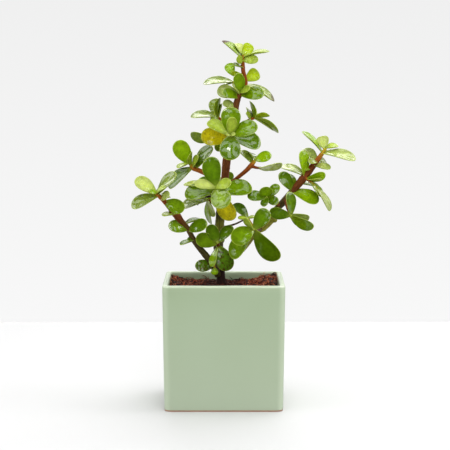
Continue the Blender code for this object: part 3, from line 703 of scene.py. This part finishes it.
# Each stem is a list of places (x, back, z, radius, youth of the bark, below 0 where it is
# dead or stained), and each leaf is (x and z of its root, x and z of its tip, how far the
# tip lies behind the root, the width it shows, its tint)
trunk = [
    (-2.5, 0, 86, 3.4, -1), (-2.5, 0, 104, 3.6, -0.2), (-3.8, 0, 116, 3.8, 0.12), (-4.6, 0, 130, 4.1, 0.1),
    (-3.8, 1, 144, 3.8, 0.04), (-2.9, 1, 155, 3.8, 0.12), (-1.7, 0, 172, 3.5, 0.35), (0.8, 0, 186, 3.2, 0.45),
    (2.4, 1, 201, 3.5, 0.45), (5.9, 1, 221, 3.3, 0.45), (10.3, 0, 248, 2.7, 0.4), (13.5, 0, 257, 2.1, 0.55),
    (18.5, 0, 266, 1.5, 0.75), (16.2, 0, 277, 1.8, 0.75), (16.0, 0, 290, 1.2, 0.9),
]
grow("main_stem", trunk, twigs=[
    [(17, 0, 273, 1.2, 0.8), (11.8, 0, 274, 1.0, 0.9), (7.6, 0, 273, 0.8, 1)],
    [(13.5, 0, 258, 1.3, 0.8), (10, 3, 262, 1.0, 0.9), (7.4, 4, 268, 0.8, 1)],
    [(5.5, 1, 218, 1.4, 0.6), (-2, 3, 220, 1.1, 0.8), (-8, 4, 220, 0.9, 1)],
    [(-4.6, -2, 126, 1.0, 0.5), (-8.5, -6, 119, 0.8, 0.8), (-7.6, -8, 110, 0.8, 1)],
    [(-1.7, 0, 170, 1.0, -1), (-12, 8, 171.4, 0.8, -1), (-17, 8, 170.2, 0.8, -1), (-21.3, 7, 168, 0.7, -1),
     (-21.9, 6, 163.8, 0.6, -1)],
    [(-3, 0, 145, 1.0, 0.2), (8.4, 6, 147.6, 0.8, 0.2), (19.3, 9, 152.7, 0.6, 0.2)],
], leaves=[
    (14, 286, -1.5, 302.2, 6, 4.8, "tipped"), (16, 290, 11, 300, 10, 7, "pale"),
    (16, 289, 22.7, 299.4, 6, 9.3, "lime"), (17, 287.5, 38.7, 292.8, -2, 2.2, "young"),
    (16, 286, 10, 286.3, -5, 7.0, "young"),
    (16, 286, 29, 284.6, -9, 7.4, "young"), (8, 273, 3.4, 283.4, 4, 8.4, "bright"),
    (16.5, 273, 5.9, 276.3, -3, 4.2, "lime"),
    (15.5, 279, 7.6, 281.8, -8, 1.7, "deep"), (18, 269, 29.4, 276.3, 5, 10.9, "lime"),
    (14, 259.5, 10.1, 274.8, -8, 9.5, "fresh"), (7.6, 267.5, -17.7, 266.2, 3, 5.8, "sheen"),
    (8, 267, 0, 265.8, 8, 3.4, "green"), (13.5, 257.5, 6.7, 265.4, -7, 2.5, "pale"),
    (13.5, 258.3, 22.4, 261.9, -9, 4.8, "young"), (13.5, 257.5, 34.4, 257.2, -6, 10.8, "fresh"),
    (18, 264.8, 42.9, 251.5, 6, 5.2, "dry_tip"), (12, 255, -1.7, 258.6, -8, 7.6, "fresh"),
    (12.5, 256, -6, 261, 2, 11, "sheen_gray"), (10, 246.5, -1.5, 250.2, -2.4, 6.2, "sheen_gray"),
    (-8, 221, -28.6, 224, 2, 8.4, "sheen"), (-7.8, 111, -8, 104, -2, 5.9, "bright"),
], mirrored=True)

# Two large limbs. They fork from the trunk close over the soil, one leaning to the left
# and the viewer, the other further up to the right and away. Corky and olive where they
# start, they redden towards their leafy ends.
grow("left_branch", [
    (-4, 0, 105, 3.0, 0.12), (-11.8, -5, 117, 2.9, 0.12), (-20.2, -10, 127.4, 2.5, 0.15),
    (-25.2, -13, 134.2, 2.3, 0.2), (-31.1, -16, 145.1, 2.1, 0.3), (-36.4, -19, 151, 2.6, 0.42),
    (-39.6, -21, 155.2, 3.1, 0.55), (-48.8, -25, 166.1, 2.1, 0.72), (-57, -28, 174, 1.6, 0.92),
], [
    (-57, 174, -75.2, 186, -4, 10.4, "pale"), (-55.5, 171, -78.2, 161.9, -2, 9.0, "sheen"),
    (-55, 173.5, -39.4, 191.2, -6, 7.6, "sheen"), (-57, 174, -47.1, 180.4, -7, 2.5, "young"),
    (-57, 174, -63, 175, -7, 3.0, "bright"), (-52, 170, -45.4, 172.4, -12, 5.9, "sheen_gray"),
    (-50, 166, -32.6, 160.4, -8, 11.8, "fresh"), (-41, 156, -52, 154.8, -9, 1.7, "young"),
    (-31.5, 143.3, -47.3, 146.6, -8.7, 9.6, "fresh"), (-30, 142.5, -13.3, 147.8, -12, 9.4, "green"),
    (-33, 148, -19.3, 152.7, 6, 1.7, "dull"), (-25, 134, -37, 130, -8, 1.8, "dull"),
    (-27, 134, -31.3, 134.6, -4, 2.8, "dull"), (-10.5, 112, -24.8, 112, -8, 9.6, "spotted"),
], mirrored=True)
grow("right_branch", [
    (-3, 0, 112, 2.6, 0.12), (5.9, 5, 120, 2.6, 0.1), (16, 9, 127.4, 2.7, 0.05), (26.9, 11, 141.2, 2.7, 0.02),
    (33.4, 11, 144.8, 2.8, 0), (40.4, 12, 152.8, 3.4, 0.02), (45.6, 12, 161.8, 2.9, 0.08),
    (49.6, 12, 166.1, 2.9, 0.2), (58.9, 13, 177, 2.9, 0.45), (66, 14, 185.5, 3.3, 0.52),
    (73.2, 16, 194.7, 2.9, 0.65), (79, 18, 202.5, 2.2, 0.85), (85.8, 20, 212, 1.3, 1),
], [
    (82, 208, 65.2, 226.3, 0, 3.4, "bright"), (85, 211, 82, 222.6, 9, 10, "pale"),
    (86, 213, 96.3, 214.4, 6, 4, "young"), (84, 206.8, 111.4, 202.2, -4, 7.2, "sheen_gray"),
    (78, 201.5, 66.4, 211.5, 9, 7.6, "sheen_gray"), (67, 188, 64.6, 210, -7, 8.4, "bright"),
    (73, 195.5, 66.4, 193.6, -5, 3.0, "young"), (78, 201, 71.5, 199.6, -11, 4.2, "sheen_gray"),
    (76, 197, 89.8, 194.2, -9, 4.5, "sheen_gray"), (79, 202, 87.5, 198, 10, 3.4, "sheen"),
    (71, 186.5, 85.6, 191.2, -7, 8, "bright"), (70, 186, 82.4, 186.8, -7, 2.5, "young"),
    (65, 181.5, 75.3, 180.6, 9, 2.6, "fresh"), (73, 184, 82.5, 170.5, -6, 5.2, "sheen"),
    (78.5, 177.5, 89.8, 158.5, -3, 5.4, "sheen_gray"), (59.5, 174.4, 80.2, 166.2, -7, 10.2, "bright"),
    (58, 176, 46.3, 191.3, -6, 10.0, "green"), (59, 177, 53.8, 191.3, 8, 6.7, "fresh"),
    (69, 188.5, 47.5, 197.2, 8, 5.9, "sheen_gray"),
], twigs=[
    [(40.4, 12, 152.6, 2.4, 0), (44.6, 10, 150.6, 1.6, 0)],
    [(68, 14, 188, 1.3, 0.8), (73.5, 8, 183, 1.0, 0.9), (78.5, 5, 177.5, 0.8, 1)],
], mirrored=True)

# Two thin limbs half way up the trunk, red-brown all along, with a fork of leaves at
# the end of each.
grow("left_mid_branch", [
    (-0.8, 0, 179.6, 1.9, 0.5), (-9, 7, 187, 2.0, 0.6), (-18.5, 13, 192.2, 2.0, 0.8),
    (-26, 17.5, 195.5, 2.0, 0.9), (-28.4, 18, 199.4, 1.0, 1),
], [
    (-24, 195, -9.3, 214, -3, 9.3, "green"), (-28, 199, -40, 218.6, -3, 14, "bright"),
    (-27, 197, -27.3, 209, -8, 3.4, "young"), (-28.4, 199.4, -39.1, 195.1, -10, 1.8, "young"),
    (-26, 195, -21, 205.6, -9, 3.4, "young"), (-26, 195.5, -47.1, 178.7, 5, 9.3, "shaded"),
], mirrored=True)
grow("right_mid_branch", [
    (1.7, 0, 179, 1.4, 0.5), (7.6, -3, 184, 1.5, 0.6), (17.7, -8, 192.2, 1.8, 0.7),
    (22.7, -10, 197.2, 2.0, 0.8), (26.5, -12, 202, 1.4, 1),
], [
    (24, 199, 13.5, 210.7, 7, 5.9, "sheen"), (26, 202, 21, 209, 9, 2.5, "green"),
    (26, 203, 40.6, 206.4, -6.4, 8.4, "bright"), (29, 197.5, 49.6, 199.4, -6, 5.6, "sheen_gray"),
], twigs=[[(22.7, -10, 197, 1.3, 0.7), (28, -12, 195.5, 1.1, 0.6), (32, -13, 195.6, 0.9, 0.6)]],
    mirrored=True)

# Two small sprigs under the top, to the left and right of the trunk and a little behind
# it, still soft and light brown.
grow("upper_left_sprig", [
    (6.9, 0, 228, 1.4, 0.6), (0, 5, 234, 1.3, 0.75), (-7.2, 10, 239.6, 1.1, 0.9),
], [
    (-7, 236.4, -28.4, 238.8, 3, 5.9, "sheen"), (-7, 239.5, -7.5, 254, 9, 9, "sheen"),
    (-5, 238, -3.5, 254.6, -5, 4.6, "green"), (-4, 237, -1.7, 250, 4, 2.5, "deep"),
    (-7, 239.5, -8.4, 231.7, -9, 6.7, "sheen"),
], mirrored=True)
grow("upper_right_sprig", [
    (8, 0, 228, 1.4, 0.6), (20.2, 8, 235.1, 1.3, 0.75), (26.2, 12, 237.4, 1.1, 0.85),
], [
    (25, 237, 21.9, 251.9, -6, 2.9, "fresh"), (23.5, 236.5, 19.3, 246, 9, 3.4, "sheen"),
    (22.7, 236, 18.6, 241.6, -9, 2.5, "young"), (26, 237.4, 38.7, 239.7, -6, 4.2, "lime"),
    (25.5, 235.6, 46.4, 224.6, -3, 4.5, "sheen"), (26, 237.4, 26.9, 244.3, 9, 2.5, "pale"),
], mirrored=True)

# Two rosettes that face the viewer, on short stems from the front of the trunk. Their
# large leaves are the oldest, and one in each has turned yellow.
grow("front_upper_sprig", [
    (5.5, 0, 219, 1.7, 0.5), (5.4, -10, 221, 1.6, 0.7), (5.9, -24, 223.3, 1.2, 0.9),
], [
    (5.9, 223.3, 5.9, 247, 2, 15.8, "fresh"), (5.9, 223.3, 5.5, 238.5, -9, 8.4, "young"),
    (5.7, 222.5, -14.3, 234.2, 2, 9, "young"), (5.9, 223, 29, 230.9, -4, 11.8, "fresh"),
    (5, 220, -19.8, 222.4, -3, 14.4, "gold"), (5.8, 223, 5, 201.4, -11, 16.8, "green"),
    (5.5, 221.3, 31.6, 214.8, 4, 13, "green"), (5.9, 223.3, 1.5, 223.6, -5, 3.4, "pale"),
    (5.9, 223.3, 10, 223.8, -5, 3.4, "pale"),
])
grow("front_mid_sprig", [
    (-1.9, 0, 170, 1.8, 0.4), (-3.5, -10, 174, 1.7, 0.6), (-6.7, -26, 178.7, 1.2, 0.85),
], [
    (-6.5, 178.5, -11.4, 205.4, 2, 15.0, "green"), (-6.7, 178.7, -25.2, 181.3, -7, 6.7, "pale"),
    (-5, 176, -34.5, 181.5, 4, 3.4, "pale"), (-6.7, 178.7, 6.9, 183.4, -8, 7.8, "young"),
    (-6, 177, -33.4, 171.8, -2, 12, "fresh"), (-4, 175, 24.4, 178.7, 2, 12.6, "fresh"),
    (-6.5, 178.5, 1.6, 161.4, -15, 16.4, "soft"), (-5, 176.5, 8.4, 151, -3, 14.3, "gold"),
    (-5, 176, -21, 187, 3, 6.5, "green"),
])

# Short sprigs on the lower trunk, one hanging on its left and one low in front, with
# dark old leaves close to the bark.
grow("side_mid_sprig", [
    (-2.2, 0, 160, 1.3, 0.3), (-8, -6, 165, 1.2, 0.5), (-13.5, -10, 168.6, 1.0, 0.8),
], [
    (-13.5, 167.5, -36.4, 162.2, 4, 7.2, "sheen"), (-13, 168, -10.5, 147.2, 2, 4.2, "bright"),
    (-13.5, 168.6, -7, 154.4, -8, 5.4, "sheen_gray"),
])
grow("low_front_sprig", [
    (-4.6, 0, 127, 1.8, 0.2), (-5, -8, 130, 1.6, 0.4), (-5.3, -14, 132.5, 1.2, 0.7),
], [
    (-5.2, 131.5, -24, 136.8, -6, 12.2, "fresh"), (-5.3, 132.5, -12.6, 148, -3, 10.2, "green"),
    (-5.2, 132, 8.4, 146, -2, 7.6, "green"), (-5, 130, 4.8, 108.1, -6, 14.3, "spotted"),
    (-5, 129, -8.6, 111.6, -14, 5.0, "bright"),
])

# Sprigs on the right limb: one hangs outwards, one leans in to the trunk, and the low one
# carries the largest leaves in front of the limb.
grow("right_outer_sprig", [
    (51.5, 12, 169, 1.4, 0.5), (54, 1, 161, 1.3, 0.7), (56.3, -6, 155.2, 1.1, 0.9),
], [
    (57, 155.5, 54.2, 175.8, -4, 8.2, "green"), (56, 155, 76.5, 145.1, -5, 9.3, "fresh"),
    (56.5, 156.5, 72.3, 151.8, 6, 9.3, "sheen_gray"), (56, 155, 38.3, 160, -5, 10.0, "green"),
], mirrored=True)
grow("right_inner_sprig", [
    (47, 12, 163.5, 1.4, 0.5), (41, 0, 168, 1.3, 0.6), (36.2, -9, 170.3, 1.1, 0.8),
], [
    (37, 170, 47.1, 181.3, -3, 7.4, "fresh"), (36.2, 170.3, 34.5, 180, -6, 11, "fresh"),
    (36.2, 170.3, 19.3, 171.6, -4, 8.2, "green"), (36.5, 168, 46, 165, -10, 7.4, "green"),
    (36.2, 170.3, 34, 162.4, -10, 6.0, "green"),
])
grow("right_low_sprig", [
    (31, 11, 143.8, 1.6, 0.2), (28, -6, 143.5, 1.6, 0.5), (25.2, -24, 143.4, 1.2, 0.9),
], [
    (25.4, 143.4, 37, 161, 2, 12.6, "green"), (25.6, 143.3, 46.8, 117.3, -2, 15, "green"),
    (25.2, 143.4, 5.9, 134.2, -10, 15.0, "fresh"), (25.6, 142.9, 6.3, 118.5, -1, 12, "fresh"),
    (25.2, 143.4, 18.5, 153.5, -8, 4.2, "young"), (21, 152.5, 11.8, 152.5, -6, 1.8, "lime"),
    (21, 153, 27.5, 154.2, 3, 2.0, "young"),
    (20.2, 153.5, 7.6, 165.3, 5, 7.6, "deep"),
], twigs=[[(26, -16, 143.5, 1.1, 0.9), (20.2, -16, 153.5, 0.8, 1)]])

# Three sprigs on the far side of the trunk, with leaves in crossed pairs as the plant
# grows them where it has room.
SPREAD = math.radians(66)
PAIR_FOLD = 0.25
PAIR_SHORTENING = 0.14
PAIR_STRAY = 0.2
PAIR_TINTS = ("green", "fresh", "sheen", "young")
pair_draws = random.Random(7)


def grow_pairs(node, stem, count, first_length):
    """A sprig whose leaves stand in crossed pairs along the outer half of its stem."""
    bark = Shape()
    add_stem(bark, stem)
    bark.piece(node + "_bark", "plant", node, jade_bark)
    route = smooth_route(stem, 1)
    growth = (route[-1][0] - route[0][0]).normalized()
    across = growth.orthogonal().normalized()
    foliage = Shape()
    for pair in range(count):
        root = route[round((0.5 + 0.5 * pair / (count - 1)) * (len(route) - 1))][0]
        for side in range(2):
            angle = math.pi * (side + pair / 2) + pair_draws.uniform(-PAIR_STRAY, PAIR_STRAY)
            out = across * math.cos(angle) + growth.cross(across) * math.sin(angle)
            lean = SPREAD - PAIR_FOLD * pair
            way = growth * math.cos(lean) + out * math.sin(lean)
            tip = root + way * first_length * MM * (1 - PAIR_SHORTENING * pair)
            add_leaf(foliage, root, tip, growth, SLENDER * first_length * 0.9, PAIR_TINTS[pair])
    add_bud(foliage, stem)
    foliage.piece(node + "_leaves", "plant", node, jade_leaf)


grow_pairs("rear_upper_sprig", [
    (5.0, 0, 214, 1.6, 0.5), (3.5, 16, 219, 1.5, 0.7), (2.6, 34, 224, 1.15, 0.9)], 4, 17)
grow_pairs("rear_mid_sprig", [
    (-1.5, 0, 172, 1.8, 0.4), (-2, 20, 176, 1.6, 0.6), (-3, 42, 181, 1.2, 0.85)], 4, 19)
grow_pairs("rear_low_sprig", [
    (-4.2, 0, 131, 1.6, 0.2), (-5.5, 14, 134, 1.4, 0.4), (-6, 30, 139, 1.1, 0.7)], 3, 14)

# Studio. A plain pale floor that ends some way behind the pot, against a pale backdrop.
# Large soft lights stand over and behind the plant, two smaller ones at its right and in
# front also show in its gloss, and the room fills in the rest.
FLOOR_REACH = 0.427
FLOOR_COLOUR = "#d0d0d0"
WALL_LOW = "#f8f8f8"
WALL_HIGH = "#f0f0f0"
ROOM_FILL = 0.76
ROOM_SHINE = 0.03
WALL_SHINE = 0.7
CEILING_SHINE = 3.8
ROOM_LIGHT = "#ffffff"
LIGHT_TARGET = (0, 0, 0.15)
table = bpy.data.meshes.new("pale_table")
table.from_pydata([(-2, -2.5, 0), (2, -2.5, 0), (2, FLOOR_REACH, 0), (-2, FLOOR_REACH, 0)], [],
                  [(0, 1, 2, 3)])
floor = bpy.data.objects.new("pale_table", table)
floor.visible_glossy = False
bpy.context.scene.collection.objects.link(floor)
white_table_top = bpy.data.materials.new("white_table_top")
white_table_top.use_nodes = True
tree = white_table_top.node_tree
top = tree.nodes["Principled BSDF"]
top.inputs["Base Color"].default_value = linear(FLOOR_COLOUR)
top.inputs["Roughness"].default_value = 0.6
table.materials.append(white_table_top)

studio = bpy.data.worlds.new("studio")
studio.use_nodes = True
bpy.context.scene.world = studio
tree = studio.node_tree
wall = tree.nodes["Background"]
way = add_node(tree, "TexCoord").outputs["Generated"]
_, away, up = add_node(tree, "SeparateXYZ", {0: way}).outputs
height = add_node(tree, "MapRange", {"Value": up, "From Min": -0.15, "From Max": 0.04})
shade = add_node(tree, "Mix", {0: height.outputs[0], 6: linear(WALL_LOW), 7: linear(WALL_HIGH)},
                 data_type="RGBA")
tree.links.new(shade.outputs[2], wall.inputs["Color"])

# The room as gloss mirrors it: bright behind the plant, and with loose patches of light
# overhead, weaker straight above, so that a wet leaf shows small lights and no veil
rays = add_node(tree, "LightPath").outputs
shine = add_node(tree, "MapRange", {"Value": away, "From Min": 0, "From Max": 0.6,
                                    "To Min": ROOM_SHINE, "To Max": WALL_SHINE})
panes = add_node(tree, "TexNoise", {"Vector": way, "Scale": 6, "Detail": 0})
panes = add_node(tree, "Math", {0: up, 1: 0.15, 2: panes.outputs[0]}, operation="MULTIPLY_ADD")
panes = add_node(tree, "MapRange", {"Value": panes.outputs[0], "From Min": 0.61, "From Max": 0.65})
above = add_node(tree, "MapRange", {"Value": up, "From Min": 0.25, "From Max": 0.4,
                                    "To Max": CEILING_SHINE})
zenith = add_node(tree, "MapRange", {"Value": up, "From Min": 0.75, "To Min": 1, "To Max": 0.5})
panes = add_node(tree, "Math", {0: panes.outputs[0], 1: zenith.outputs[0]}, operation="MULTIPLY")
shine = add_node(tree, "Math", {0: above.outputs[0], 1: panes.outputs[0], 2: shine.outputs[0]},
                 operation="MULTIPLY_ADD")
strength = add_node(tree, "Mix", {0: rays["Is Glossy Ray"], 2: ROOM_FILL, 3: shine.outputs[0]})
fill = add_node(tree, "Background", {"Color": linear(ROOM_LIGHT), "Strength": strength.outputs[0]})
room = add_node(tree, "MixShader", {0: rays["Is Camera Ray"], 1: fill.outputs[0], 2: wall.outputs[0]})
tree.links.new(room.outputs[0], tree.nodes["World Output"].inputs["Surface"])
bpy.context.scene.view_settings.view_transform = "Standard"


def softbox(name, place, width, height, power, shines=True):
    """An even rectangular light turned to the plant. One that doesn't shine is hidden from
    glossy rays, so that it shows in no gloss."""
    data = bpy.data.lights.new(name, "AREA")
    data.shape = "RECTANGLE"
    data.size, data.size_y = width, height
    data.energy = power
    made = bpy.data.objects.new(name, data)
    made.location = place
    made.rotation_euler = (Vector(LIGHT_TARGET) - Vector(place)).to_track_quat("-Z", "Y").to_euler()
    made.visible_glossy = shines
    bpy.context.scene.collection.objects.link(made)


softbox("overhead_softbox", (0.1, 0, 1.2), 0.7, 0.5, 4, shines=False)
softbox("back_window", (0.5, 1.0, 1.15), 1.4, 0.9, 8.5, shines=False)
softbox("right_softbox", (0.95, -0.05, 0.6), 0.4, 0.7, 3)
softbox("key_softbox", (0.3, -1.1, 1.25), 0.28, 0.16, 2.4)
softbox("left_fill", (-1.0, -0.35, 0.5), 0.6, 0.7, 2, shines=False)
softbox("front_fill", (-0.1, -1.5, 1.2), 0.9, 0.6, 6, shines=False)
